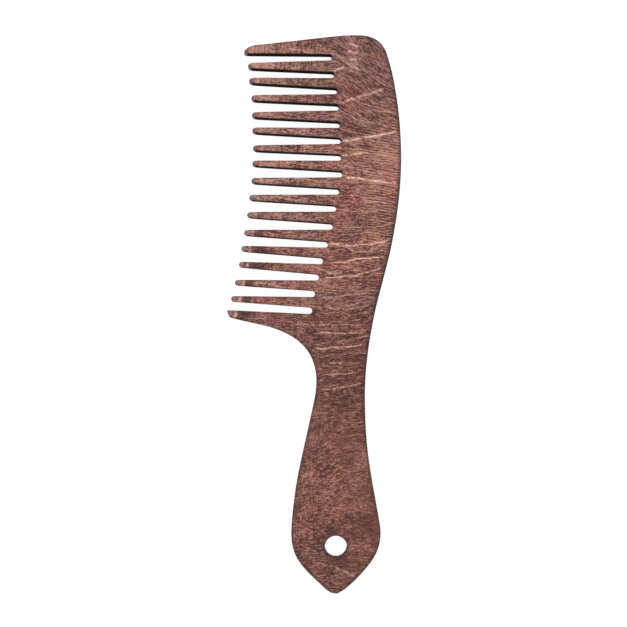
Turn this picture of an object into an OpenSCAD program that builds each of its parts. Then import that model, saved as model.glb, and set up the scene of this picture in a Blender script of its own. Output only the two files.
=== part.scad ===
// A flat wide-tooth comb with a hang hole, cut from one sheet of five-ply wood.
// It lies on its back face at z = 0. The origin is the hang hole's centre, +Y runs along the
// handle to the head, the teeth point to -X and the spine is on the +X side.

/* [Plies] */
// Thickness of each face veneer
face_ply_t = 1.05; // [0.6:0.05:2]
// Thickness of each of the three inner veneers
inner_ply_t = 1.3; // [0.8:0.05:2]

/* [Handle] */
// Diameter of the hang hole
hang_hole_d = 8; // [5:0.5:12]
// Hang hole's centre to the handle's point
point_l = 16.8; // [14:0.2:24]
// Hang hole's centre to the widest place of the handle
belly_y = 5.2; // [2:0.2:10]
// Greatest width of the handle
belly_w = 32.2; // [26:0.1:40]
// Hang hole's centre to the narrowest place of the neck
neck_y = 57; // [50:1:64]
// Width of the neck
neck_w = 17.5; // [12:0.5:24]
// Handle's centre line to the middle of the neck, towards the spine
neck_shift = 1.7; // [-1:0.1:4]

/* [Head] */
// Handle's centre line to the fullest place of the spine
spine_x = 23.5; // [18:0.1:30]
// Top slot to the highest place of the head
crown_rise = 8.1; // [6:0.1:14]
// Width of the top guard tooth at its shoulder
top_guard_w = 3; // [2.4:0.1:4]
// Width of the lowest guard tooth at its shoulder
low_guard_w = 3.2; // [2.6:0.1:4.4]

/* [Teeth] */
// Number of teeth, with the guard tooth at each end
tooth_count = 17; // [9:1:21]
// Distance between neighbouring slots at their ends
tooth_pitch = 6.08; // [5:0.02:7]
// Hang hole's centre to the lowest slot
first_slot_y = 85; // [80:0.5:100]
// Width of the highest slot at its end
slot_top_w = 2.05; // [1.6:0.05:3]
// Width of the lowest slot at its end
slot_low_w = 2.2; // [1.6:0.05:3]
// Handle's centre line to the deepest slot ends, towards the spine
slot_reach = 1.7; // [-3:0.1:5]
// Radius of the line that the slot ends follow
slot_line_r = 157; // [110:1:300]
// Handle's centre line to the nearest tips, away from the spine
tip_reach = 30.2; // [27:0.1:40]
// Radius of the line that the tips follow
tip_line_r = 190; // [150:1:400]
// Width of a tooth at its tip
tip_w = 2.1; // [1.4:0.1:2.8]
// Slope of the lowest tooth, rising towards its tip, in degrees
low_tilt = 2.9; // [0:0.1:6]
// Slope of the highest tooth, rising towards its tip, in degrees
top_tilt = 0.5; // [-2:0.1:4]
// Length over which a tip is sanded thinner
nose_l = 1.4; // [0.8:0.1:3]
// Thickness left at the very tip
nose_t = 2.4; // [1.2:0.1:3.2]

/* [Hidden] */

// Overrun of a cut past the face that it opens
cut_over = 1;
// Turn of the outline in one facet of a bend, in degrees
facet_angle = 4;
// Facets round a tip, a slot corner and a nose
tip_facets = 8;
corner_facets = 4;
nose_facets = 4;
// Turn of a nose's curve, which meets the face at the rest of a right angle
nose_angle = 75;

// Heights of the glue lines, from the back face up
back_band_z = face_ply_t;
core_z = back_band_z + inner_ply_t;
front_band_z = core_z + inner_ply_t;
front_face_z = front_band_z + inner_ply_t;
comb_t = front_face_z + face_ply_t;

slot_count = tooth_count - 1;
row_l = (slot_count - 1) * tooth_pitch;
top_slot_y = first_slot_y + row_l;
head_top_y = top_slot_y + crown_rise;

// Places along the head, as shares of the lengths that they lie on
row_crest_share = 0.65;
spine_crest_share = 0.55;
crown_share = 0.28;
neck_skew_share = 0.045;
nose_w_share = 0.65;

// Share of a slot's end that its two round corners take, with the rest left straight
slot_round_share = 0.96;

// The slots and tips stray a little from an even row, as a hand-drawn outline does.
// Each list runs from the lowest up, in shares of the pitch.
slot_rise_shares = [
    0, 0, -0.02, -0.05, -0.075, -0.015, 0.055, 0.065,
    0.085, 0.075, 0.065, 0.015, 0.045, 0.015, -0.035, 0.015
];
slot_depth_shares = [
    0.22, 0, -0.09, -0.13, -0.09, -0.02, 0.015, 0.06,
    0.17, 0.05, 0.015, -0.01, 0.01, 0.005, -0.03, 0.04
];
tip_rise_shares = [
    0.05, 0.045, 0.015, 0.11, 0.08, 0.01, 0.005, -0.005, -0.01,
    0.02, -0.05, 0.05, -0.015, 0.005, 0.09, -0.02, 0.01
];
tip_depth_shares = [
    0.06, 0.08, 0.03, 0.01, -0.05, -0.06, -0.04, -0.03, 0.02,
    0.02, 0.05, 0.02, 0.04, 0.08, 0.06, 0.12, 0.01
];

// Stations of the outline between two of its corners. Each is [share of the way across,
// share of the way along, heading in degrees], with the outline running anticlockwise.
crown_shares = [[0.15, 0.619, 101], [0.304, 0.849, 109], [0.428, 0.932, 132], [0.634, 0.983, 160]];
brow_shares = [[0.19, 0.106, 185.5], [0.885, 0.875, 186.5]];
throat_shares = [[0.423, 0.128, 344], [0.753, 0.327, 324], [0.918, 0.562, 300]];
left_flank_shares = [[0.106, 0.145, 257.5], [0.698, 0.594, 257.5], [0.89, 0.79, 263]];
left_point_shares = [[0.13, 0.42, 300], [0.4, 0.67, 314], [0.73, 0.9, 318], [0.92, 0.99, 345]];
right_point_shares = [[0.13, 0.04, 390], [0.31, 0.14, 401], [0.62, 0.37, 409], [0.88, 0.63, 422]];
right_flank_shares = [[0.13, 0.112, 459], [0.737, 0.521, 458]];
spine_shares = [[0.138, 0.241, 441], [0.498, 0.488, 434], [0.85, 0.734, 441]];

// Tip ends of the two guard teeth, as [across, up, heading] in shares of the tooth's width
top_guard_shares = [[1.05, 1, 192], [0.42, 0.79, 214], [0, 0.3, 268], [0.13, 0, 360]];
low_guard_shares = [
    [0.04, 0, 180], [0, -0.06, 268], [0.07, -0.44, 290], [0.3, -0.78, 320], [0.69, -0.95, 343]
];

function heading(a) = [cos(a), sin(a)];

// A table's value for a tooth or slot, and no straying past the table's end
function strayed(shares, i) = i < len(shares) ? shares[i] * tooth_pitch : 0;

// Distance across of a line of tips or slot ends, at a height on the head
crest_y = first_slot_y + row_crest_share * row_l;
function line_x(crest_x, r, y) = crest_x - r + sqrt(r * r - pow(y - crest_y, 2));

// Slope of a tooth, or of the slot above it at i + 0.5
function tilt(i) = low_tilt + (top_tilt - low_tilt) * i / (tooth_count - 1);

function slot_end(j) =
    let (y = first_slot_y + j * tooth_pitch + strayed(slot_rise_shares, j))
    [line_x(slot_reach, slot_line_r, y) + strayed(slot_depth_shares, j), y];

function slot_w(j) = slot_low_w + (slot_top_w - slot_low_w) * j / (slot_count - 1);

// Side of a slot's end, up for side = 1 and down for side = -1, on the slot's mouth side
function slot_side(j, side) = slot_end(j) + side * slot_w(j) / 2 * heading(90 - tilt(j + 0.5));

// Where a tooth's line from the head meets the line of the tips
function tip_from(root, i) =
    let (
        y = root.y + (root.x + tip_reach) * tan(tilt(i)) + strayed(tip_rise_shares, i)
    )
    [line_x(-tip_reach, tip_line_r, y) + strayed(tip_depth_shares, i), y];

top_tooth = tooth_count - 1;
function tip(i) =
    i == 0 ? tip_from(slot_side(0, -1), 0)
    : i == top_tooth ? tip_from(slot_side(slot_count - 1, 1), top_tooth)
    : tip_from((slot_end(i - 1) + slot_end(i)) / 2, i);

// The round end of a slot, from its upper side to its lower one
function slot_points(j) =
    let (
        r = slot_round_share * slot_w(j) / 2,
        back = heading(180 - tilt(j + 0.5)),
        up = heading(90 - tilt(j + 0.5)),
        centre = slot_end(j) + r * back
    )
    [
        for (side = [1, -1], i = [0 : corner_facets])
            let (a = 90 * (side > 0 ? 1 - i / corner_facets : i / corner_facets))
            centre + side * (slot_w(j) / 2 - r + r * sin(a)) * up - r * cos(a) * back
    ];

// The round tip of a tooth, from its upper side to its lower one
function tip_points(i) =
    let (a = 180 - tilt(i), r = tip_w / 2, centre = tip(i) - r * heading(a))
    [for (k = [0 : tip_facets]) centre + r * heading(a - 90 + 180 * k / tip_facets)];

// Stations between two corners of the outline, from a table of shares
function stations(from, to, shares) = [
    for (s = shares) [from.x + (to.x - from.x) * s[0], from.y + (to.y - from.y) * s[1], s[2]]
];

function guard_stations(i, w, shares) =
    let (t = tip(i))
    [for (s = shares) [t.x + w * s[0], t.y + w * s[1], s[2]]];

// A bend from one station to the next: a cubic curve that leaves and arrives along their
// headings, which is close to a true arc where the two lie on one. The end point is left out.
function bend(a, b) =
    let (
        turn = abs(b.z - a.z),
        steps = max(1, ceil(turn / facet_angle)),
        reach = norm([b.x - a.x, b.y - a.y]) / 3 / pow(cos(turn / 4), 2),
        p0 = [a.x, a.y],
        p3 = [b.x, b.y],
        p1 = p0 + reach * heading(a.z),
        p2 = p3 - reach * heading(b.z)
    )
    [
        for (i = [0 : steps - 1])
            let (t = i / steps, s = 1 - t)
            s * s * s * p0 + 3 * s * s * t * p1 + 3 * s * t * t * p2 + t * t * t * p3
    ];

function curve(list) = [
    for (i = [0 : len(list) - 2]) each bend(list[i], list[i + 1]),
    [list[len(list) - 1].x, list[len(list) - 1].y]
];

// Corners of the outline, anticlockwise from the fullest place of the spine
spine_crest = [spine_x, first_slot_y + spine_crest_share * (head_top_y - first_slot_y), 90];
crown = [crown_share * spine_x, head_top_y, 180];
top_guard = guard_stations(top_tooth, top_guard_w, top_guard_shares);
low_guard = guard_stations(0, low_guard_w, low_guard_shares);
low_shoulder = low_guard[len(low_guard) - 1];
neck_left = [neck_shift - neck_w / 2, neck_y * (1 + neck_skew_share), 270];
belly_left = [-belly_w / 2, belly_y, 270];
point = [0, -point_l, 360];
belly_right = [belly_w / 2, belly_y, 450];
neck_right = [neck_shift + neck_w / 2, neck_y * (1 - neck_skew_share), 450];
spine_end = [spine_crest.x, spine_crest.y, 450];

head_top = [
    spine_crest,
    each stations(spine_crest, crown, crown_shares),
    crown,
    each stations(crown, top_guard[0], brow_shares),
    each top_guard
];

back_round = [
    each low_guard,
    each stations(low_shoulder, neck_left, throat_shares),
    neck_left,
    each stations(neck_left, belly_left, left_flank_shares),
    belly_left,
    each stations(belly_left, point, left_point_shares),
    point,
    each stations(point, belly_right, right_point_shares),
    belly_right,
    each stations(belly_right, neck_right, right_flank_shares),
    neck_right,
    each stations(neck_right, spine_end, spine_shares),
    spine_end
];

// The teeth from the top guard down: each slot's end, then the tip of the tooth below it
teeth_points = [
    for (j = [slot_count - 1 : -1 : 0]) each [
        each slot_points(j),
        each (j > 0 ? tip_points(j) : [])
    ]
];

back_points = curve(back_round);
outline = [
    each curve(head_top),
    each teeth_points,
    for (i = [0 : len(back_points) - 2]) back_points[i]
];

// Side view of a nose's curve: x runs in from the tip, y is the height above the sheet's middle
function nose_at(i) =
    let (a = nose_angle * i / nose_facets)
    [
        nose_l * (1 - cos(a)) / (1 - cos(nose_angle)),
        (nose_t + (comb_t - nose_t) * sin(a) / sin(nose_angle)) / 2
    ];

// A facet from a to b carried on past b by its own length
function run_out(a, b) = 2 * b - a;

// Side view of what sanding takes off one face at a tip
nose_start = run_out(nose_at(1), nose_at(0));
nose_points = [
    [-cut_over, comb_t / 2 + cut_over],
    [-cut_over, nose_start.y],
    nose_start,
    for (i = [1 : nose_facets - 1]) nose_at(i),
    run_out(nose_at(nose_facets - 1), nose_at(nose_facets))
];

// Middle of a tooth at its tip. A guard tooth is widest on its outer side.
function nose_middle(i) =
    tip(i)
    + (i == 0 ? -low_guard_w / 2 : i == top_tooth ? top_guard_w / 2 : 0) * heading(90);

module tip_noses() {
    for (i = [0 : top_tooth], face = [1, -1]) {
        middle = nose_middle(i);
        translate([middle.x, middle.y, comb_t / 2])
            rotate([90, 0, -tilt(i)])
                linear_extrude(height = nose_w_share * tooth_pitch, center = true)
                    polygon([for (p = nose_points) [p.x, face * p.y]]);
    }
}

// One veneer of the sheet, from its lower glue line up
module veneer(z, t) {
    difference() {
        translate([0, 0, z])
            linear_extrude(height = t)
                polygon(outline);
        translate([0, 0, -cut_over])
            cylinder(h = comb_t + 2 * cut_over, d = hang_hole_d, $fn = 96);
        tip_noses();
    }
}

module front_face_veneer() {
    color("#7b5149") veneer(front_face_z, face_ply_t);
}

module front_crossband() {
    color("#3f2a25") veneer(front_band_z, inner_ply_t);
}

module core_veneer() {
    color("#4f352d") veneer(core_z, inner_ply_t);
}

module back_crossband() {
    color("#3f2a25") veneer(back_band_z, inner_ply_t);
}

module back_face_veneer() {
    color("#7b5149") veneer(0, face_ply_t);
}

front_face_veneer();
front_crossband();
core_veneer();
back_crossband();
back_face_veneer();
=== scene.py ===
import math

import bpy
import numpy as np
from mathutils.geometry import delaunay_2d_cdt
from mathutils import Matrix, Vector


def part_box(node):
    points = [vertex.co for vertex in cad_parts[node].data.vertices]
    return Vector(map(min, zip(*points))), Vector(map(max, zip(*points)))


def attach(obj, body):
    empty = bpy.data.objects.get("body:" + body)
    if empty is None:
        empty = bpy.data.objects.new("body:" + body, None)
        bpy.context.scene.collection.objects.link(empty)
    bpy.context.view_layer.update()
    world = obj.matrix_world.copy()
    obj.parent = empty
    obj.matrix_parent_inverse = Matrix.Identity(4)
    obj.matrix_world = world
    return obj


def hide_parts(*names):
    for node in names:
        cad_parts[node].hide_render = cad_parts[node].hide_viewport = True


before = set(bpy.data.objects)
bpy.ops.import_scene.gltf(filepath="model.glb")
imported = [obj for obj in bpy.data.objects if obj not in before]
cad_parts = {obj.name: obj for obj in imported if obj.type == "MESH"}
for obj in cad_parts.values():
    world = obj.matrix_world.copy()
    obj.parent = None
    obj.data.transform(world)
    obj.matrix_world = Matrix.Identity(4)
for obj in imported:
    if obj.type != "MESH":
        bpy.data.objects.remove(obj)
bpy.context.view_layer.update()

mm = 0.001
boxes = np.array([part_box(node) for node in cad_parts]) / mm
sheetLow, sheetHigh = boxes[:, 0].min(0), boxes[:, 1].max(0)
sheetMiddle, sheetThickness = (sheetLow[2] + sheetHigh[2]) / 2, sheetHigh[2] - sheetLow[2]
print("frame: %d veneers, %.1f mm thick" % (len(boxes), sheetThickness))


# The comb's edge line, taken from the core veneer and carried round its bends. Lengths are in mm.
edgeLine = {
    "node": "core_veneer",
    "weldPlaces": 3,       # decimals of a mm to which the frame's loose corners are welded
    "flatWithin": 0.01,    # below the top, for a corner that still counts as on the upper face
    "sharpTurn": 50.0,     # a turn above this, in degrees, stays a corner
    "longestStep": 0.6,    # between neighbouring points
    "shortestStep": 0.1,   # corners of the frame that lie closer together are thinned out
    "largestTurn": 4.0,    # degrees between neighbouring points on a bend
    "evening": 0.7,        # length over which the inward direction is evened out
    "neighbours": 24,      # points on each side that it is evened out over
}


def rimLoops(node):
    # The upper face's rim: the directed edges that no other triangle of that face has the other way round.
    # The order round a loop comes from jumps that double, so that 512 points take 9 steps.
    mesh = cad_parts[node].data
    mesh.calc_loop_triangles()
    places = np.zeros(len(mesh.vertices) * 3, np.float32)
    mesh.vertices.foreach_get("co", places)
    corners = np.zeros(len(mesh.loop_triangles) * 3, np.int32)
    mesh.loop_triangles.foreach_get("vertices", corners)
    rounded = (places.reshape(-1, 3) / mm).round(edgeLine["weldPlaces"])
    points, welded = np.unique(rounded, axis=0, return_inverse=True)
    triangles = welded.ravel()[corners].reshape(-1, 3)
    top = points[:, 2].max() - edgeLine["flatWithin"]
    flat = triangles[(points[triangles][:, :, 2] > top).all(1)]
    edges = np.concatenate([flat[:, [0, 1]], flat[:, [1, 2]], flat[:, [2, 0]]])
    count = len(points)
    rim = edges[~np.isin(edges @ [count, 1], edges @ [1, count])]
    following = np.arange(count)
    following[rim[:, 0]] = rim[:, 1]
    fromHole = np.hypot(points[rim[:, 0], 0], points[rim[:, 0], 1])
    loops = []
    for start in (rim[fromHole.argmax(), 0], rim[fromHole.argmin(), 0]):
        chain, jump = np.array([start]), following
        while np.count_nonzero(chain == start) < 2:
            chain, jump = np.concatenate([chain, jump[chain]]), jump[jump]
        loop = points[chain[:np.flatnonzero(chain == start)[1]], :2]
        gaps = np.linalg.norm(loop - np.roll(loop, 1, 0), axis=1)
        gaps[0] = 0
        loops.append(loop[np.diff(gaps.cumsum() // edgeLine["shortestStep"], prepend=-1) > 0])
    return loops


def unit(vectors):
    # Each vector divided by its own length
    return vectors / np.linalg.norm(vectors, axis=1, keepdims=True)


def turnBetween(a, b):
    # The angle between two directions, in degrees, by the arctangent of their cross and dot products
    return np.degrees(np.abs(np.arctan2(a[:, 0] * b[:, 1] - a[:, 1] * b[:, 0], (a * b).sum(1))))


def carriedRound(corners):
    # A cubic along each edge of the polygon. It leaves and arrives along the line between a corner's two
    # neighbours, which keeps long straight stretches straight and makes the facets of a bend round again.
    edge = np.roll(corners, -1, 0) - corners
    before = np.roll(edge, 1, 0)
    sharp = (turnBetween(before, edge) > edgeLine["sharpTurn"])[:, None]
    length = np.linalg.norm(edge, axis=1)
    leaving = unit(np.where(sharp, edge, edge + before))
    arriving = np.roll(unit(np.where(sharp, before, edge + before)), -1, 0)
    forTurn = turnBetween(leaving, arriving) / edgeLine["largestTurn"]
    forTurn = np.minimum(forTurn, length / edgeLine["shortestStep"])
    steps = np.ceil(np.maximum(length / edgeLine["longestStep"], forTurn)).astype(int)
    which = np.repeat(np.arange(len(corners)), steps)
    t = ((np.arange(len(which)) - np.repeat(steps.cumsum() - steps, steps)) / steps[which])[:, None]
    reach = length[which, None]
    return (
        corners[which] * (2 * t**3 - 3 * t**2 + 1) + np.roll(corners, -1, 0)[which] * (3 * t**2 - 2 * t**3)
        + leaving[which] * reach * (t**3 - 2 * t**2 + t) + arriving[which] * reach * (t**3 - t**2)
    )


def inwardDirections(points):
    # Each point's left-hand normal, averaged over its neighbours with weights that fall off as a bell curve
    # of the distance along the line, so that rings set inwards don't cross at a sharp corner.
    ahead = np.roll(points, -1, 0) - points
    gap = np.linalg.norm(ahead, axis=1)
    along = unit(np.roll(points, -1, 0) - np.roll(points, 1, 0))
    normal = np.column_stack([-along[:, 1], along[:, 0]])
    share = (gap + np.roll(gap, 1)) / 2
    place = np.concatenate([[0], gap.cumsum()])
    total = np.zeros_like(normal)
    for k in range(-edgeLine["neighbours"], edgeLine["neighbours"] + 1):
        away = np.roll(place[:-1], -k) - place[:-1]
        away -= place[-1] * np.round(away / place[-1])
        weight = np.exp(-0.5 * (away / edgeLine["evening"])**2)
        total += np.roll(normal * share[:, None], -k, 0) * weight[:, None]
    return unit(total)


loops = [carriedRound(corners) for corners in rimLoops(edgeLine["node"])]
rimPoints = np.concatenate(loops)
rimInward = np.concatenate([inwardDirections(loop) for loop in loops])
outerCount, rimCount = len(loops[0]), len(rimPoints)
holeCount = rimCount - outerCount
rimNext = np.concatenate([np.roll(np.arange(outerCount), -1), outerCount + np.roll(np.arange(holeCount), -1)])
print("edge line: %d points, %d of them round the hang hole" % (rimCount, holeCount))


# The tips, which are sanded thinner than the sheet. Lengths are in mm.
toothTips = {
    "leftOf": -27.0,        # across, and every tip lies further left than this
    "lowTilt": 2.9,         # slope of the lowest and of the highest tooth, in degrees
    "topTilt": 0.5,
    "noseLength": 1.4,      # how far in the face begins
    "noseThickness": 2.4,   # left at the very tip
    "noseAngle": 75.0,      # turn of the nose's curve
    "fullUntil": 1.0,       # distance from the tip up to which a ring is drawn in by the whole nose
    "fadedAt": 4.5,         # and from which on it isn't drawn in at all
    "insetShare": 0.6,      # of a ring's inset that is left at a tip
}

x, y = rimPoints[:outerCount].T
isTip = (x < np.roll(x, 1)) & (x <= np.roll(x, -1)) & (x < toothTips["leftOf"])
tipPoints = rimPoints[:outerCount][isTip]
tipPoints = tipPoints[tipPoints[:, 1].argsort()]
nearest = ((rimPoints[:, None] - tipPoints[None])**2).sum(2).argmin(1)
tilts = [toothTips["lowTilt"], toothTips["topTilt"]]
slopes = np.radians(np.interp(tipPoints[:, 1], tipPoints[[0, -1], 1], tilts))
tipAxis = np.column_stack([np.cos(slopes), -np.sin(slopes)])[nearest]
print("teeth: %d" % len(tipPoints))


def smoothRise(value, low, high):
    # 0 up to low and 1 from high on. Between them it is three times the square of the way there less twice
    # its cube.
    t = np.clip((value - low) / (high - low), 0, 1)
    return t * t * (3 - 2 * t)


def fromTip(points):
    # Distance along the nearest tooth from its tip: the way from the tip dotted with the tooth's axis
    return ((points - tipPoints[nearest]) * tipAxis).sum(1)


def noseWeight(points):
    # 1 near a tip, and further in 1 less the smooth rise of the distance from it
    return 1 - smoothRise(fromTip(points), toothTips["fullUntil"], toothTips["fadedAt"])


def noseShift(z):
    # How far a tip is drawn in at a height: the side view of the nose is a quarter of an ellipse cut short,
    # so its height gives an angle by an arcsine and the angle gives the distance by a cosine
    full = math.radians(toothTips["noseAngle"])
    left = toothTips["noseThickness"] / 2
    share = np.clip((abs(z - sheetMiddle) - left) / (sheetThickness / 2 - left), 0, 1)
    angle = np.arcsin(share * math.sin(full))
    return toothTips["noseLength"] * (1 - np.cos(angle)) / (1 - math.cos(full))


# The veneers. Their faces are eased at the arris, and a fine groove shows at each glue line.
# Lengths are in mm.
veneerEdges = {
    "arris": 0.25,
    "arrisSteps": 4,
    "rims": [0.5, 0.8, 1.2, 1.8],   # insets of the flat rings inside the arris, which carry the scorched edge
    "teethShare": 0.42,             # of what those rings are set in beyond the arris, left among the teeth
    "spineSide": (4, 12),           # across, where the teeth's share gives way to the whole
    "throat": (72, 84),             # up, where it does so too
    "groove": 0.04,
    "grooveHeight": 0.07,
    "wallStep": 0.25,               # most between rings on a wall where the noses curve
    "joinWithin": 1e-5,             # points of a cap that lie closer together count as one
    "sharpFrom": 40.0,              # degrees between faces that are shaded apart
}

# 0 among the teeth, 1 on the spine's side and from the throat down
offTeeth = smoothRise(rimPoints[:, 0], *veneerEdges["spineSide"])
offTeeth = np.maximum(offTeeth, 1 - smoothRise(rimPoints[:, 1], *veneerEdges["throat"]))
rimShare = veneerEdges["teethShare"] + (1 - veneerEdges["teethShare"]) * offTeeth


def ringAt(z, inset):
    # The edge line moved inwards by the inset and along the tooth by the nose's shift. What the inset has
    # beyond the arris is less among the teeth, and the whole is less near a tip.
    less = 1 - (1 - toothTips["insetShare"]) * noseWeight(rimPoints)
    beyond = max(inset - veneerEdges["arris"], 0)
    flat = rimPoints + rimInward * ((inset - beyond + beyond * rimShare) * less)[:, None]
    flat += tipAxis * (noseShift(z) * noseWeight(flat))[:, None]
    return np.column_stack([flat, np.full(rimCount, z)])


def capTriangles(flat):
    # Triangles that fill one flat face, without those that span the hang hole. Each is turned so that the
    # cross product of two of its sides points up.
    edges = np.column_stack([np.arange(rimCount), rimNext])
    found = delaunay_2d_cdt(flat.tolist(), edges.tolist(), [], 1, veneerEdges["joinWithin"])
    if len(found[0]) != rimCount:
        raise ValueError("a ring crosses itself near %s" % [tuple(p) for p in found[0][rimCount:]])
    triangles = np.array(found[2])
    triangles = triangles[(triangles < outerCount).any(1)]
    a, b, c = flat[triangles[:, 0]], flat[triangles[:, 1]], flat[triangles[:, 2]]
    area = (b[:, 0] - a[:, 0]) * (c[:, 1] - a[:, 1]) - (b[:, 1] - a[:, 1]) * (c[:, 0] - a[:, 0])
    return np.where((area < 0)[:, None], triangles[:, ::-1], triangles)


def veneer(name, node, slot, levels, faceStrips, materials):
    # A closed band of rings, one for each level (height, inset) from the lowest up, with a flat cap inside
    # the first and the last. Strips in faceStrips and the cap beside them take the second material.
    rings = np.concatenate([ringAt(z, inset) for z, inset in levels])
    start = np.arange(rimCount)
    quads = np.concatenate([
        np.column_stack([start, rimNext, rimNext + rimCount, start + rimCount]) + k * rimCount
        for k in range(len(levels) - 1)
    ])
    last = (len(levels) - 1) * rimCount
    lower = capTriangles(rings[:rimCount, :2])[:, ::-1]
    upper = capTriangles(rings[last:, :2]) + last
    corners = np.concatenate([quads.ravel(), lower.ravel(), upper.ravel()])
    sizes = np.repeat([4, 3], [len(quads), len(lower) + len(upper)])
    stripMaterial = np.isin(np.arange(len(levels) - 1), faceStrips).astype(int)
    capMaterial = stripMaterial[[0, -1]]
    faceMaterial = np.concatenate([
        np.repeat(stripMaterial, rimCount), np.repeat(capMaterial, [len(lower), len(upper)])
    ])
    mesh = bpy.data.meshes.new(name)
    mesh.vertices.add(len(rings))
    mesh.vertices.foreach_set("co", (np.clip(rings, sheetLow, sheetHigh) * mm).ravel())
    mesh.loops.add(len(corners))
    mesh.loops.foreach_set("vertex_index", corners)
    mesh.polygons.add(len(sizes))
    mesh.polygons.foreach_set("loop_start", sizes.cumsum() - sizes)
    for material in materials:
        mesh.materials.append(material)
    mesh.polygons.foreach_set("material_index", faceMaterial)
    mesh.polygons.foreach_set("use_smooth", sizes == 4)
    for label, values in (
        ("inset", np.repeat([inset for z, inset in levels], rimCount)),
        ("tipDistance", np.concatenate([fromTip(ring[:, :2]) for ring in rings.reshape(-1, rimCount, 3)])),
        ("underside", np.tile(rimInward[:, 1], len(levels))),
    ):
        mesh.attributes.new(label, "FLOAT", "POINT").data.foreach_set("value", values.astype(np.float32))
    mesh.update(calc_edges=True)
    mesh.validate()
    mesh.set_sharp_from_angle(angle=math.radians(veneerEdges["sharpFrom"]))
    piece = bpy.data.objects.new(name, mesh)
    bpy.context.scene.collection.objects.link(piece)
    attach(piece, "root")
    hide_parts(node)
    print("%s: %d faces" % (name, len(sizes)))


class Amount:
    # A number that varies over a surface. A sum with it puts a Math node into its material.
    def __init__(self, add, socket):
        self.add, self.socket = add, socket

    def work(self, operation, *others):
        # One Math node of this number and of up to two others
        values = dict(enumerate([self, *others]))
        return Amount(self.add, self.add("Math", values, operation=operation))

    # The signs of a sum. A number less an amount is minus one times the amount plus the number.
    __add__ = lambda self, other: self.work("ADD", other)
    __mul__ = lambda self, other: self.work("MULTIPLY", other)
    __sub__ = lambda self, other: self.work("SUBTRACT", other)
    __rsub__ = lambda self, other: self.work("MULTIPLY_ADD", -1.0, other)
    __truediv__ = lambda self, other: self.work("DIVIDE", other)
    __pow__ = lambda self, other: self.work("POWER", other)
    __abs__ = lambda self: self.work("ABSOLUTE")

    def most(self, other):
        # The larger of the two
        return self.work("MAXIMUM", other)

    def held(self):
        # This number, but no less than 0 and no more than 1
        return self.work("MAXIMUM", 0.0).work("MINIMUM", 1.0)

    def rise(self, low, high, start=0.0, end=1.0):
        # start before low, end past high, and between them three times the square of the way less twice its
        # cube. A high that is below low turns the rise round.
        values = {0: self, 1: low, 2: high, 3: start, 4: end}
        return Amount(self.add, self.add("MapRange", values, interpolation_type="SMOOTHSTEP"))


def addTo(tree):
    # Returns a function that adds a node, sets its values or links them, and gives its output
    def add(kind, values=None, output=0, **settings):
        # The values are keyed by socket: an amount or another node's output is linked, the rest is set
        made = tree.nodes.new("ShaderNode" + kind)
        for key, value in settings.items():
            setattr(made, key, value)
        for key, value in (values or {}).items():
            value = value.socket if isinstance(value, Amount) else value
            if isinstance(value, bpy.types.NodeSocket):
                tree.links.new(value, made.inputs[key])
            else:
                made.inputs[key].default_value = value
        return made.outputs[output] if made.outputs else made
    return add


halfway = 0.5    # the middle of a noise, and of all else that goes from 0 to 1


def noise(point, sizes, detail=2.0, roughness=0.5):
    # Soft noise at a point. Each of its numbers is first divided by the size of the hills in that
    # direction. A third number without a size only moves on to another stretch of the noise.
    add = point[0].add
    scaled = [value / size for value, size in zip(point, sizes)] + list(point[len(sizes):])
    vector = add("CombineXYZ", dict(enumerate(scaled)))
    values = {"Vector": vector, "Scale": 1.0, "Detail": detail, "Roughness": roughness}
    return Amount(add, add("TexNoise", values))


def bell(across, up=0.0):
    # e to the power of minus the sum of two distances' squares, so 1 in the middle and 0 far away
    return ((across * across + up * up) * -1.0).work("EXPONENT")


def placeOn(add):
    # The place on a piece in mm, across, up and through the comb: its Object coordinates over a mm
    place = add("VectorMath", {0: add("TexCoord", output="Object"), "Scale": 1 / mm}, operation="SCALE")
    return [Amount(add, add("SeparateXYZ", {0: place}, output=k)) for k in range(3)]


def attribute(add, label):
    # What the mesh holds under a label, carried evenly from point to point
    return Amount(add, add("Attribute", output=2, attribute_name=label))


def ramp(add, value, stops, interpolation="LINEAR"):
    # A colour ramp with stops at the given places
    made = add("ValToRGB", {0: value})
    made.node.color_ramp.interpolation = interpolation
    elements = made.node.color_ramp.elements
    elements.remove(elements[1])
    elements[0].position, elements[0].color = stops[0]
    for position, colour in stops[1:]:
        elements.new(position).color = colour
    return made


def mixed(add, amount, low, high, **settings):
    # The low colour where the amount is 0, the high one where it is 1, and in proportion between
    return add("Mix", {0: amount, 6: low, 7: high}, output=2, data_type="RGBA", **settings)


def tinted(add, colour, amount, low, high):
    # The colour multiplied by a tint, which goes from low to high with the amount
    return mixed(add, 1.0, colour, mixed(add, amount, low, high), blend_type="MULTIPLY")


def newMaterial(name):
    # An empty material, and the function that adds to it
    material = bpy.data.materials.new(name)
    material.use_nodes = True
    material.node_tree.nodes.clear()
    return material, addTo(material.node_tree)


def finishMaterial(add, values):
    # The shader with its values, joined to the output
    add("OutputMaterial", {"Surface": add("BsdfPrincipled", values)})


# A zone, here and below, is two or four numbers: where it begins and where it ends, in mm or as an amount,
# and the values before and past it, which are 0 and 1 where they aren't given. The size of a noise is that
# of its hills in mm, across and up.

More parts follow.
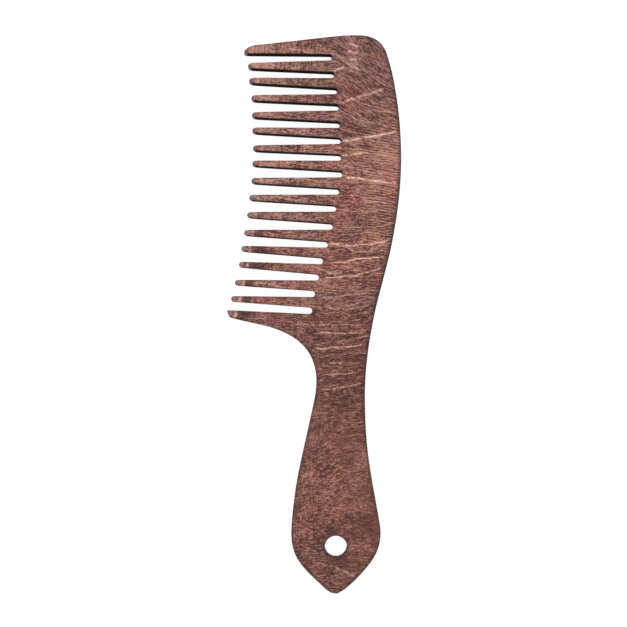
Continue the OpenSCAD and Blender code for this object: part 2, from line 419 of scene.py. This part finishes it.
# Scorched walls, as a laser leaves them: near black, with fine upright lines. The tips are sanded paler, and
# the hang hole's wall is painted a paler brown that stands in for the light falling on it from above.
scorch = {
    "roughness": 0.95,
    "gloss": 0.02,
    "lines": (0.22, 0.22, 2.6),            # mm across, up and through the sheet
    "linesShare": 0.7,
    "lineBump": 0.5,
    "lineDepth": 0.00003,                  # metres
    "patches": (5.0, 5.0, 2.0),
    "patchesShare": 0.5,
    "lightFrom": (0.4, 0.85),
    "endGrain": [(0.003, 0.0025, 0.0025, 1.0), (0.013, 0.009, 0.0075, 1.0)],
    "longGrain": [(0.005, 0.004, 0.004, 1.0), (0.026, 0.016, 0.012, 1.0)],
    # painted light: a paler brown on the hang hole's wall, standing in for the light that falls on it from
    # above
    "hole": (0.120, 0.058, 0.046, 1.0),
    "holeWallLitPaint": (4.5, 5.5, 1.0, 0.0),      # from the hole's middle
    "tip": (0.360, 0.250, 0.250, 1.0),
    "tipBegins": (0.1, 0.9, 0.2, 1.0),     # from the tip
    "tipEnds": (0.9, 1.45, 0.9, 0.0),
    "tipUp": (112.0, 140.0, 0.8, 0.55),
}


def scorchedWall(name, shades):
    # Lines and patches, each a noise times its share, are added up and mix two dark shades. The distance from
    # the hole's middle, by Pythagoras, paints a paler brown on its wall as painted light, and the distance
    # from a tip the paler end.
    material, add = newMaterial(name)
    px, py, pz = placeOn(add)
    lines = noise((px, py, pz), scorch["lines"], detail=3.0, roughness=0.6)
    patches = noise((px, py, pz), scorch["patches"])
    amount = (lines * scorch["linesShare"] + patches * scorch["patchesShare"]).held()
    colour = mixed(add, amount.rise(*scorch["lightFrom"]), *shades)
    fromHole = (px * px + py * py).work("SQRT")
    colour = mixed(add, fromHole.rise(*scorch["holeWallLitPaint"]), colour, scorch["hole"])
    tip = attribute(add, "tipDistance")
    worn = tip.rise(*scorch["tipBegins"]) * tip.rise(*scorch["tipEnds"]) * py.rise(*scorch["tipUp"])
    colour = mixed(add, worn, colour, scorch["tip"])
    bump = add("Bump", {"Height": lines, "Strength": scorch["lineBump"], "Distance": scorch["lineDepth"]})
    finishMaterial(add, {
        "Base Color": colour, "Roughness": scorch["roughness"], "Specular IOR Level": scorch["gloss"],
        "Normal": bump,
    })
    return material


# How the grain runs over a stained face. Lengths are in mm.
grainRun = {
    "wander": (26.0, 12.0),
    "wanderBy": 6.0,
    "shiver": (4.0, 2.4),
    "shiverBy": 1.0,
    "headFall": (112.0, 172.0, -0.06, 0.62),
    "handleRise": (34.0, 56.0, 0.36, 0.0),
    "lowHandle": (10.0, 24.0, 0.25, 1.0),
    "handleUntil": 3.0,     # across, where the rise on the handle starts
}


def grainLines(px, py, seed):
    # The height up the comb, moved by two noises, plus a fall to the right at the top of the head and a
    # rise to the left on the handle. Places with the same value lie on one line of the grain.
    wander = noise((px, py, seed), grainRun["wander"], detail=1.0)
    shiver = noise((px, py, seed), grainRun["shiver"], detail=1.0)
    grain = py + (wander - halfway) * grainRun["wanderBy"] + (shiver - halfway) * grainRun["shiverBy"]
    fall = px.most(0.0) * py.rise(*grainRun["headFall"])
    slope = py.rise(*grainRun["handleRise"]) * py.rise(*grainRun["lowHandle"])
    handleRise = (grainRun["handleUntil"] - px).most(0.0) * slope
    return grain + (fall + handleRise), shiver


# Layers of grain: length, width and strength of each
grainLayers = {
    "streaks": (5.0, 0.50, 1.1),
    "fibres": (1.7, 0.32, 2.1),
    "hairs": (0.8, 0.26, 1.6),
    "grit": (0.36, 0.40, 1.2),
    "flecks": (0.45, 3.0, 1.6),
}


def grainLayer(name, px, up, seed):
    # A noise stretched along the grain, and what it adds to the tone: its distance from the middle times a
    # strength
    length, width, strength = grainLayers[name]
    value = noise((px, up, seed), (length, width), roughness=0.6)
    return value, (value - halfway) * strength


# Fine ridges that run across the head near its spine
spineRidges = {
    "spacing": 0.95,
    "slope": 0.16,
    "bend": (5.0, 2.4),
    "bendBy": 1.1,
    "gapSize": (3.2, 1.0),
    "gaps": (0.3, 0.55, 0.3, 1.0),
    "strength": 0.25,
    "lift": 0.07,
    "across": (5.0, 13.0),
    "upFrom": (84.0, 124.0),
    "upTo": (147.0, 158.0, 1.0, 0.0),
}


def ridgeTone(px, py, seed):
    # A sine of the height, which one noise bends and a slope tilts, times a second noise that leaves gaps
    bend = noise((px, py, seed), spineRidges["bend"])
    up = py + (bend - halfway) * spineRidges["bendBy"] + px * spineRidges["slope"]
    waves = (up * (2 * math.pi / spineRidges["spacing"])).work("SINE")
    gaps = noise((px, py, seed), spineRidges["gapSize"])
    return waves * gaps.rise(*spineRidges["gaps"]) * spineRidges["strength"] + spineRidges["lift"]


# How strongly the grain shows
liveGrain = {
    "plain": 0.98,
    "teethAcross": (-4.0, -12.0),
    "teethUp": (96.0, 116.0, 0.0, 0.44),
    "calmAcross": (-2.0, 5.0, 0.17, 1.0),
    "calmUp": (36.0, 44.0, 1.0, 0.0),
    "calmBy": -0.51,
    "ridged": (0.0, 1.0, 1.0, 0.85),
    "neck": 54.0,
    "nearNeck": (10.0, 18.0, 0.8, 1.0),     # from the neck
    "handle": (4.0, 44.0, 1.34, 1.0),
}


def liveliness(px, py, onSpine):
    # A plain strength, more on the teeth and less on the right of the handle, times three shares: for the
    # ridges along the spine, for the neck and for the handle
    teeth = px.rise(*liveGrain["teethAcross"]) * py.rise(*liveGrain["teethUp"])
    calm = px.rise(*liveGrain["calmAcross"]) * py.rise(*liveGrain["calmUp"])
    strength = teeth + calm * liveGrain["calmBy"] + liveGrain["plain"]
    nearNeck = abs(py - liveGrain["neck"]).rise(*liveGrain["nearNeck"])
    return strength * onSpine.rise(*liveGrain["ridged"]) * nearNeck * py.rise(*liveGrain["handle"])


# How light the face is, as a number that picks one of its shades
faceTones = {
    "middle": 0.5,
    "cloud": (5.0, 3.2),
    "cloudBy": 0.6,
    "broad": (30.0, 22.0),
    "broadBy": 0.3,
    "streaksUp": (34.0, 56.0, 0.5, 1.0),
    "fleckedAcross": (0.0, -10.0),
    "fleckedUp": (160.0, 172.0, 0.45, 1.0),
    "guardTooth": (168.0, 176.0, 1.0, 1.5),
    "underFlecks": (0.0, 1.0, 1.0, 0.6),
    "lightAcross": (2.0, -6.0),
    "lightUp": (150.0, 172.0, 0.05, 0.09),
    "mottleHairs": (2.0, -0.4),             # times the hairs, and plus
}


def faceTone(px, py, seed, grain, fineTone, cloud, broad):
    # A middle tone plus clouds, broad changes, the layers of grain times their liveliness, the ridges and the
    # flecks, and a little more light on the upper teeth
    streakTone = grainLayer("streaks", px, grain, seed)[1]
    gritTone = grainLayer("grit", px, py, seed)[1]
    fleckTone = grainLayer("flecks", px, py, seed)[1]
    onSpine = py.rise(*spineRidges["upFrom"]) * py.rise(*spineRidges["upTo"])
    onSpine = onSpine * px.rise(*spineRidges["across"])
    flecked = px.rise(*faceTones["fleckedAcross"]) * py.rise(*faceTones["fleckedUp"])
    lively = liveliness(px, py, onSpine)
    tone = (cloud - halfway) * faceTones["cloudBy"] + (broad - halfway) * faceTones["broadBy"]
    tone = tone + faceTones["middle"]
    along = streakTone * py.rise(*faceTones["streaksUp"]) + fineTone
    tone = tone + along * lively * flecked.rise(*faceTones["underFlecks"]) + gritTone * lively
    tone = tone + ridgeTone(px, py, seed) * onSpine
    tone = tone + fleckTone * flecked * py.rise(*faceTones["guardTooth"])
    return tone + px.rise(*faceTones["lightAcross"]) * py.rise(*faceTones["lightUp"])


# Light and dark places on the photographed face:
# middle across and up, half sizes across and up, and how light
mottles = [
    (5.8, 179.0, 1.7, 3.2, 0.60),
    (6.4, 172.5, 1.6, 2.6, 0.30),
    (-29.0, 170.0, 11.0, 14.0, 0.26),
    (-7.0, 164.0, 6.5, 14.0, -0.22),
    (-26.0, 120.0, 10.0, 8.0, -0.12),
    (18.0, 118.0, 5.0, 7.0, -0.12),
    (14.0, 95.0, 9.0, 12.0, -0.18),
    (-7.0, 78.0, 4.5, 4.5, -0.24),
    (-9.0, 28.0, 6.0, 16.0, -0.13),
    (9.0, 26.0, 6.0, 13.0, 0.14),
    (-6.8, -1.0, 4.0, 4.5, -0.30),
    (9.0, -1.5, 5.0, 5.0, 0.14),
    (0.5, -15.0, 4.0, 2.6, 0.24),
    (-26.0, 178.5, 10.0, 3.5, 0.40),
    (-30.5, 173.4, 4.0, 1.6, 0.16),
    (17.0, 141.0, 4.5, 3.0, 0.16),
    (14.0, 108.0, 4.0, 1.6, 0.14),
    (5.6, 149.6, 3.6, 1.4, -0.25),
    (13.0, 179.0, 3.0, 4.0, -0.14),
    (10.5, 7.0, 3.8, 3.4, -0.32),
    (-3.2, 5.0, 3.6, 2.2, -0.24),
    (2.0, -6.4, 5.0, 2.2, -0.32),
    (-0.4, 163.0, 4.5, 10.0, -0.13),
    (7.0, 147.0, 6.5, 6.0, -0.11),
    (-8.0, 137.0, 6.0, 5.0, -0.15),
    (7.5, 68.5, 4.5, 5.0, -0.22),
    (-8.0, 50.0, 4.0, 14.0, 0.10),
    (7.0, 42.0, 4.5, 4.5, -0.12),
]


def mottled(px, py, places):
    # The sum of each place's lightness times a bell curve of the distance from its middle, in half sizes
    total = 0.0
    for across, up, halfAcross, halfUp, light in places:
        total = bell((px - across) / halfAcross, (py - up) / halfUp) * light + total
    return total


# Pale growth lines on the photographed face:
# left end across and up, right end across and up, rise of the middle, half width, strength
growthLines = [
    (4.4, 181.2, 8.2, 180.0, 0.0, 0.60, 0.7),
    (4.0, 178.6, 8.0, 177.8, 0.0, 0.50, 0.8),
    (4.8, 175.8, 7.6, 175.2, 0.0, 0.50, 0.6),
    (5.4, 172.9, 8.2, 172.2, 0.0, 0.50, 0.6),
    (1.9, 159.7, 17.7, 164.9, 0.3, 0.60, 1.0),
    (-1.0, 171.0, 3.2, 173.0, 0.0, 0.50, 0.7),
    (15.5, 157.2, 22.0, 156.0, 0.2, 0.40, 0.5),
    (1.8, 146.0, 22.5, 149.8, -0.3, 0.70, 1.0),
    (1.8, 141.0, 12.0, 142.2, 0.0, 0.40, 0.9),
    (3.0, 133.2, 22.7, 130.6, 0.2, 0.60, 1.0),
    (10.5, 124.3, 18.3, 123.5, 0.1, 0.35, 0.8),
    (-3.0, 109.7, 19.6, 110.8, -1.5, 0.50, 0.9),
    (-1.8, 102.0, 18.1, 104.7, 0.3, 0.38, 1.0),
    (-4.8, 97.2, 17.5, 101.2, -1.4, 0.34, 0.9),
    (-6.1, 89.6, 13.1, 91.9, 0.0, 0.32, 0.6),
    (-3.5, 86.3, 12.6, 87.3, -1.2, 0.30, 0.6),
    (-17.0, 80.2, 11.4, 80.0, -0.1, 0.30, 0.7),
    (-9.0, 77.0, 11.4, 77.2, 0.0, 0.30, 0.9),
    (-8.6, 71.4, 11.5, 72.9, -0.3, 0.32, 1.0),
    (-3.1, 66.3, 9.2, 66.5, -0.1, 0.36, 0.7),
    (-5.3, 62.2, 7.9, 63.0, -0.3, 0.32, 0.6),
    (-5.8, 56.5, 9.6, 59.0, -0.3, 0.34, 1.0),
    (-0.6, -7.2, 6.8, -10.8, 0.2, 0.80, 0.6),
    (-14.5, 23.8, -7.4, 27.8, 0.2, 1.40, 0.3),
]

paleLines = {
    "halfShare": 0.68,                      # of a line's half width, over which it fades
    "roughBy": 1.2,
    "hairyBy": 0.7,
    "ends": (0.0, 0.35),                    # of the hump, where a line fades towards its ends
    "gapSize": (1.1, 0.8),
    "gaps": (0.33, 0.56, 0.25, 1.0),
    "darkGrain": (0.2, 0.55, 0.55, 1.1),    # by the tone
    "lowDown": (80.0, 92.0, 0.78, 1.0),
    "faintSpacing": 6.5,
    "faintBend": 2.0,
    "faint": (0.0, 0.045, 0.4, 0.0),
    "faintUp": (44.0, 66.0, 0.12, 1.0),
}


def growthPale(px, py, seed, lines, grain, shiver, hairs, broad, tone):
    # How pale the growth lines make a place, and how whole they are there. With t from 0 to 1 between a
    # line's ends, its height is their straight line plus 4 t (1 - t) times the rise of its middle, and it
    # fades as a bell curve of the distance from that. Faint lines follow the grain at even steps.
    gaps = noise((px, py, seed), paleLines["gapSize"], detail=1.0)
    whole = gaps.rise(*paleLines["gaps"]) * tone.rise(*paleLines["darkGrain"])
    roughUp = py + (shiver - halfway) * paleLines["roughBy"] + (hairs - halfway) * paleLines["hairyBy"]
    pale = 0.0
    for left, leftUp, right, rightUp, middle, halfWidth, strength in lines:
        t = (px - left) / (right - left)
        hump = t * (1.0 - t) * 4.0
        line = t * (rightUp - leftUp) + (hump * middle + leftUp)
        away = (roughUp - line) / (halfWidth * paleLines["halfShare"])
        pale = (bell(away) * hump.rise(*paleLines["ends"], 0.0, strength)).most(pale)
    phase = (grain / paleLines["faintSpacing"] + broad * paleLines["faintBend"]).work("FRACT")
    faint = abs(phase - halfway).rise(*paleLines["faint"]) * py.rise(*paleLines["faintUp"])
    return faint.most(pale) * whole * py.rise(*paleLines["lowDown"]), whole


# Colours of the stained faces, linear
stain = {
    "roughness": 0.55,
    "roughnessBy": 0.2,
    "gloss": 0.15,
    "grainBump": 0.35,
    "grainDepth": 0.00004,   # metres
    "hairsHeight": 0.5,      # against the fibres
    "seedTilt": 0.15,        # how fast the noises change through the sheet
    # tone and shade
    "shades": [
        (0.04, (0.062, 0.018, 0.012, 1.0)),
        (0.5, (0.180, 0.0705, 0.0555, 1.0)),
        (0.86, (0.50, 0.240, 0.188, 1.0)),
    ],
    # height up the comb in mm, and how light the face is there
    "lightness": [
        (-16, 0.56), (10, 0.68), (24, 0.725), (42, 0.585), (62, 0.555), (78, 0.58), (94, 0.71),
        (130, 0.82), (160, 0.75), (180, 0.61),
    ],
    # tints, by which a colour is multiplied
    "plain": (1.0, 1.0, 1.0, 1.0),
    "orange": (1.05, 1.00, 0.87, 1.0),
    "mauve": (0.97, 0.98, 1.16, 1.0),
    "red": (1.05, 0.95, 0.97, 1.0),
    "olive": (0.94, 1.03, 0.97, 1.0),
    "cool": (0.955, 1.01, 1.09, 1.0),
    "warm": (1.0, 0.985, 0.94, 1.0),
    "behindTip": (0.36, 0.33, 0.32, 1.0),
    # colours that are laid over it
    "pale": (0.68, 0.40, 0.31, 1.0),
    # the scorched rim, also used as painted shade on the undersides of the upper teeth
    "rim": (0.028, 0.018, 0.020, 1.0),
    "tip": (0.330, 0.220, 0.210, 1.0),
}

# Where the tints lie
tints = {
    "small": (3.6, 2.6),
    "smallSeed": 9.0,
    "smallFrom": (0.3, 0.7),
    "broad": (8.0, 6.0),
    "broadSeed": 5.0,
    "broadFrom": (0.35, 0.65),
    "headShare": (72.0, 84.0, 0.3, 1.0),
    "handleShare": (28.0, 38.0, 0.7, 0.3),
    "coolAcross": (2.0, -8.0),
    "coolUp": (98.0, 124.0, 0.3, 1.0),
    "coolTop": (140.0, 165.0),
    "cornerAcross": (-10.0, -22.0),
    "cornerUp": (150.0, 168.0),
    "warmUp": (66.0, 84.0, 1.0, 0.0),
}


def stainColour(px, py, seed, tone):
    # The tone picks a shade, the height up the comb its lightness. Then it is multiplied by four tints: two
    # go by noises, one is cool towards the tips and the top, and one is warm below the throat.
    add = px.add
    lowest, highest = stain["lightness"][0][0], stain["lightness"][-1][0]
    lightness = ramp(add, (py - lowest) / (highest - lowest), [
        ((up - lowest) / (highest - lowest), (value, value, value, 1.0)) for up, value in stain["lightness"]
    ], "B_SPLINE")
    colour = add("HueSaturation", {"Value": lightness, "Color": ramp(add, tone, stain["shades"])})
    hueShare = py.rise(*tints["headShare"]).most(py.rise(*tints["handleShare"]))
    small = noise((px, py, seed + tints["smallSeed"]), tints["small"], detail=3.0, roughness=0.6)
    small = (small.rise(*tints["smallFrom"]) - halfway) * hueShare + halfway
    colour = tinted(add, colour, small, stain["orange"], stain["mauve"])
    broad = noise((px, py, seed + tints["broadSeed"]), tints["broad"])
    broad = (broad.rise(*tints["broadFrom"]) - halfway) * hueShare + halfway
    colour = tinted(add, colour, broad, stain["red"], stain["olive"])
    cool = (px.rise(*tints["coolAcross"]) * py.rise(*tints["coolUp"])).most(py.rise(*tints["coolTop"]))
    cool = (cool - px.rise(*tints["cornerAcross"]) * py.rise(*tints["cornerUp"])).held()
    colour = tinted(add, colour, cool, stain["plain"], stain["cool"])
    return tinted(add, colour, py.rise(*tints["warmUp"]), stain["plain"], stain["warm"])


# Marks on the face near the tips, in mm from a tip and up the comb
tipMarks = {
    "unevenBy": 1.6,
    "dullTo": (1.3, 2.6, 0.6, 0.0),
    "dullUp": (112.0, 140.0, 1.0, 0.45),
    # a pale band past the tip: partly sanded through the stain, partly a painted highlight of the rounded tip
    "sandedBandAndHighlightFrom": (2.4, 3.0),
    "sandedBandAndHighlightTo": (3.4, 3.9, 0.42, 0.0),
    "sandedBandAndHighlightUp": (110.0, 150.0, 1.0, 0.5),
    "lightFrom": (2.0, 3.2),
    "lightTo": (7.0, 11.0, 0.14, 0.0),
    "lightUp": (112.0, 140.0),
    "darkFrom": (3.5, 4.1),
    "darkTo": (-0.8, 0.8, 1.0, 0.0),
    "darkLength": 7.0,
    "darkMore": 4.0,        # on the teeth near longestUp
    "longestUp": 104.0,
    "longestHalf": 5.0,
    "darkUp": (108.0, 130.0, 0.82, 0.12),
}


def markedTips(py, shiver, whole, colour):
    # Over the colour, by the distance from the tip, which a noise makes uneven: a duller end, a pale band
    # that is partly sanded through the stain and partly a painted highlight of the rounded tip, a lighter
    # stretch on the upper teeth and a darker one on the lower teeth. How far that one goes is a length plus a
    # bell curve of the height up the comb.
    add = py.add
    tip = attribute(add, "tipDistance") + (shiver - halfway) * tipMarks["unevenBy"]
    dull = tip.rise(*tipMarks["dullTo"]) * py.rise(*tipMarks["dullUp"])
    colour = mixed(add, dull, colour, stain["tip"])
    # Painted highlight, partly sanded stain: a pale band just past the rounded tip
    sandedBandAndHighlight = tip.rise(*tipMarks["sandedBandAndHighlightFrom"]) * tip.rise(*tipMarks["sandedBandAndHighlightTo"])
    colour = mixed(add, sandedBandAndHighlight * whole * py.rise(*tipMarks["sandedBandAndHighlightUp"]), colour, stain["pale"])
    light = tip.rise(*tipMarks["lightFrom"]) * tip.rise(*tipMarks["lightTo"])
    colour = mixed(add, light * py.rise(*tipMarks["lightUp"]), colour, stain["pale"])
    longest = bell((py - tipMarks["longestUp"]) / tipMarks["longestHalf"])
    past = tip - (longest * tipMarks["darkMore"] + tipMarks["darkLength"])
    dark = tip.rise(*tipMarks["darkFrom"]) * past.rise(*tipMarks["darkTo"]) * py.rise(*tipMarks["darkUp"])
    return tinted(add, colour, dark, stain["plain"], stain["behindTip"])


# The scorched rim of a face, and the painted shade on the undersides of the upper teeth, in mm from its edge
# and up the comb
scorchedAndShadedRims = {
    "unevenBy": 0.3,
    "spineAcross": (4.0, 9.0, 0.25, 1.0),
    "spineUp": (34.0, 46.0, 0.78, 1.0),
    "belowThroat": (72.0, 84.0, 0.64, 0.25),
    "power": 1.5,
    "lessPower": -0.5,      # on the low part of the spine
    "lowSpineFrom": (76.0, 88.0),
    "lowSpineTo": (118.0, 140.0, 1.0, 0.0),
    # painted shade on the undersides of the upper teeth, where their rims face away from the lamps
    "underside": (0.2, 0.8),
    "undersideShadeTo": (0.1, 0.5, 1.0, 0.0),
    "undersideShadeFrom": (80.0, 92.0),
    "undersideShadeUp": (96.0, 140.0, 0.62, 0.95),
}


def rimScorchAndShade(px, py, cloud):
    # The share of the rim's width that is left at a place, to a power, times how scorched that side is. Where
    # it is more, painted shade on the undersides of the upper teeth, whose rims face away from the lamps,
    # takes its place.
    inset = attribute(px.add, "inset") + (cloud - halfway) * scorchedAndShadedRims["unevenBy"]
    left = (1.0 - inset / veneerEdges["rims"][-1]).held()
    side = px.rise(*scorchedAndShadedRims["spineAcross"]) * py.rise(*scorchedAndShadedRims["spineUp"])
    side = side.most(py.rise(*scorchedAndShadedRims["belowThroat"]))
    lowSpine = py.rise(*scorchedAndShadedRims["lowSpineFrom"]) * py.rise(*scorchedAndShadedRims["lowSpineTo"])
    scorched = left ** (lowSpine * scorchedAndShadedRims["lessPower"] + scorchedAndShadedRims["power"]) * side
    under = attribute(px.add, "underside").rise(*scorchedAndShadedRims["underside"])
    # Painted shade: the rims on the undersides of the upper teeth are darkened as if facing away from the
    # light
    undersideShade = under * inset.rise(*scorchedAndShadedRims["undersideShadeTo"])
    undersideShade = undersideShade * py.rise(*scorchedAndShadedRims["undersideShadeFrom"]) * py.rise(*scorchedAndShadedRims["undersideShadeUp"])
    return scorched.most(undersideShade)


def stainedFace(name, lines, places, seedStart):
    # The grain gives a tone and the tone a colour. Growth lines, tips with a painted highlight past each, and
    # the scorched rim with painted shade under the upper teeth are mixed over it in turn, and the fibres and
    # hairs raise the surface.
    material, add = newMaterial(name)
    px, py, pz = placeOn(add)
    seed = pz * stain["seedTilt"] + seedStart
    grain, shiver = grainLines(px, py, seed)
    fibres, fibreTone = grainLayer("fibres", px, grain, seed)
    hairs, hairTone = grainLayer("hairs", px, grain, seed)
    cloud = noise((px, py, seed), faceTones["cloud"], detail=3.0)
    broad = noise((px, py, seed), faceTones["broad"], detail=1.0)
    tone = faceTone(px, py, seed, grain, fibreTone + hairTone, cloud, broad)
    times, plus = faceTones["mottleHairs"]
    tone = tone + (hairs * times + plus) * mottled(px, py, places)
    pale, whole = growthPale(px, py, seed, lines, grain, shiver, hairs, broad, tone)
    colour = mixed(add, pale, stainColour(px, py, seed, tone), stain["pale"])
    colour = markedTips(py, shiver, whole, colour)
    colour = mixed(add, rimScorchAndShade(px, py, cloud), colour, stain["rim"])
    height = fibres + hairs * stain["hairsHeight"]
    bump = add("Bump", {"Height": height, "Strength": stain["grainBump"], "Distance": stain["grainDepth"]})
    roughness = (cloud - halfway) * stain["roughnessBy"] + stain["roughness"]
    finishMaterial(add, {
        "Base Color": colour, "Roughness": roughness, "Specular IOR Level": stain["gloss"], "Normal": bump,
    })
    return material


frontSeed, backSeed = 1.7, 23.4
endGrain = scorchedWall("endGrainScorched", scorch["endGrain"])
longGrain = scorchedWall("longGrainScorched", scorch["longGrain"])
frontStain = stainedFace("frontStain", growthLines, mottles, frontSeed)
backStain = stainedFace("backStain", [], [], backSeed)
print("materials: done")


def wallLevels(low, high, grooveLow=True, grooveHigh=True):
    # Heights up a wall at even steps, with the groove's two rings at each glue line
    groove, grooveHeight = veneerEdges["groove"], veneerEdges["grooveHeight"]
    inner = [low + grooveHeight] * grooveLow + [high - grooveHeight] * grooveHigh
    ends = [low] * (not grooveLow) + [high] * (not grooveHigh)
    first, last = min(inner + ends), max(inner + ends)
    steps = max(1, math.ceil((last - first) / veneerEdges["wallStep"]))
    heights = [(z, 0.0) for z in np.linspace(first, last, steps + 1)]
    return [(low, groove)] * grooveLow + heights + [(high, groove)] * grooveHigh


def arrisLevels(face, side):
    # A quarter turn from the wall to the face, by a sine and a cosine, then the flat rings. side is 1 on the
    # front and -1 on the back.
    radius, steps = veneerEdges["arris"], veneerEdges["arrisSteps"]
    turns = [math.radians(90 * (k + 1) / steps) for k in range(steps)]
    eased = [(face - side * radius * (1 - math.sin(a)), radius * (1 - math.cos(a))) for a in turns]
    return eased + [(face, inset) for inset in veneerEdges["rims"]]


def heightsOf(node):
    # The lowest and the highest point of a node, in mm
    low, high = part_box(node)
    return low.z / mm, high.z / mm


low, high = heightsOf("front_face_veneer")
wall = wallLevels(low, high - veneerEdges["arris"], grooveHigh=False)
levels = wall + arrisLevels(high, 1)
veneer(
    "frontFaceVeneer", "front_face_veneer", "face_veneer", levels,
    range(len(wall) - 1, len(levels) - 1), [endGrain, frontStain],
)

low, high = heightsOf("back_face_veneer")
wall = wallLevels(low + veneerEdges["arris"], high, grooveLow=False)
levels = arrisLevels(low, -1)[::-1] + wall
veneer(
    "backFaceVeneer", "back_face_veneer", "face_veneer", levels,
    range(len(levels) - len(wall)), [endGrain, backStain],
)

for name, node, slot, material in (
    ("frontCrossband", "front_crossband", "crossband_veneer", longGrain),
    ("coreVeneer", "core_veneer", "core_veneer", endGrain),
    ("backCrossband", "back_crossband", "crossband_veneer", longGrain),
):
    veneer(name, node, slot, wallLevels(*heightsOf(node)), [], [material])


# The photograph looks straight down at the middle of its frame
view = {
    "across": -8.08,      # mm, of the point under the camera
    "up": 84.08,
    "distance": 545.0,    # above the photographed face
    "focal": 86.93,
    "sensor": 36.0,
    "clip": (0.01, 10.0),   # metres
}
camera = bpy.data.objects.new("camera", bpy.data.cameras.new("camera"))
camera.data.lens = view["focal"]
camera.data.sensor_width = view["sensor"]
camera.data.clip_start, camera.data.clip_end = view["clip"]
camera.location = (view["across"] * mm, view["up"] * mm, (sheetHigh[2] + view["distance"]) * mm)
bpy.context.scene.collection.objects.link(camera)
bpy.context.scene.camera = camera

# Lengths are in metres
studio = {
    "floorSize": 6.0,
    "floorGap": 0.00002,
    "floorGlow": 0.96,
    "floorColour": (0.12, 0.12, 0.12, 1.0),
    "floorRoughness": 0.9,
    "white": (1.0, 1.0, 1.0, 1.0),
    "sky": 0.75,
    "aim": (0.0, 0.084, 0.0),
    # name, place, size, power in watts
    "lamps": [("topLamp", (-0.25, 0.9, 0.9), 0.7, 9.0), ("frontLamp", (0.5, -0.5, 1.1), 0.9, 4.0)],
}


def paleFloor():
    # A square just under the comb. It glows a little, so that it is evenly pale.
    half = studio["floorSize"] / 2
    mesh = bpy.data.meshes.new("floor")
    corners = [(-half, -half, 0), (half, -half, 0), (half, half, 0), (-half, half, 0)]
    mesh.from_pydata(corners, [], [(0, 1, 2, 3)])
    floor = bpy.data.objects.new("floor", mesh)
    floor.location.z = sheetLow[2] * mm - studio["floorGap"]
    bpy.context.scene.collection.objects.link(floor)
    material, add = newMaterial("paleFloor")
    finishMaterial(add, {
        "Base Color": studio["floorColour"], "Roughness": studio["floorRoughness"], "Specular IOR Level": 0.0,
        "Emission Color": studio["white"], "Emission Strength": studio["floorGlow"],
    })
    mesh.materials.append(material)


def softLight():
    # Round lamps that face the aim: the tilt is the arccosine of how far down the way there points, and the
    # heading is the arctangent of how far it goes to the side and ahead. An even white sky lights the rest.
    for name, place, size, power in studio["lamps"]:
        lamp = bpy.data.lights.new(name, "AREA")
        lamp.shape, lamp.size, lamp.energy = "DISK", size, power
        holder = bpy.data.objects.new(name, lamp)
        holder.location = place
        way = np.array(studio["aim"]) - place
        holder.rotation_euler = (math.acos(-way[2] / np.linalg.norm(way)), 0.0, math.atan2(-way[0], way[1]))
        bpy.context.scene.collection.objects.link(holder)
    world = bpy.data.worlds.new("studio")
    world.use_nodes = True
    world.node_tree.nodes["Background"].inputs["Color"].default_value = studio["white"]
    world.node_tree.nodes["Background"].inputs["Strength"].default_value = studio["sky"]
    bpy.context.scene.world = world


paleFloor()
softLight()
bpy.context.scene.view_settings.view_transform = "Standard"
bpy.context.scene.view_settings.look = "None"
print("studio: done")
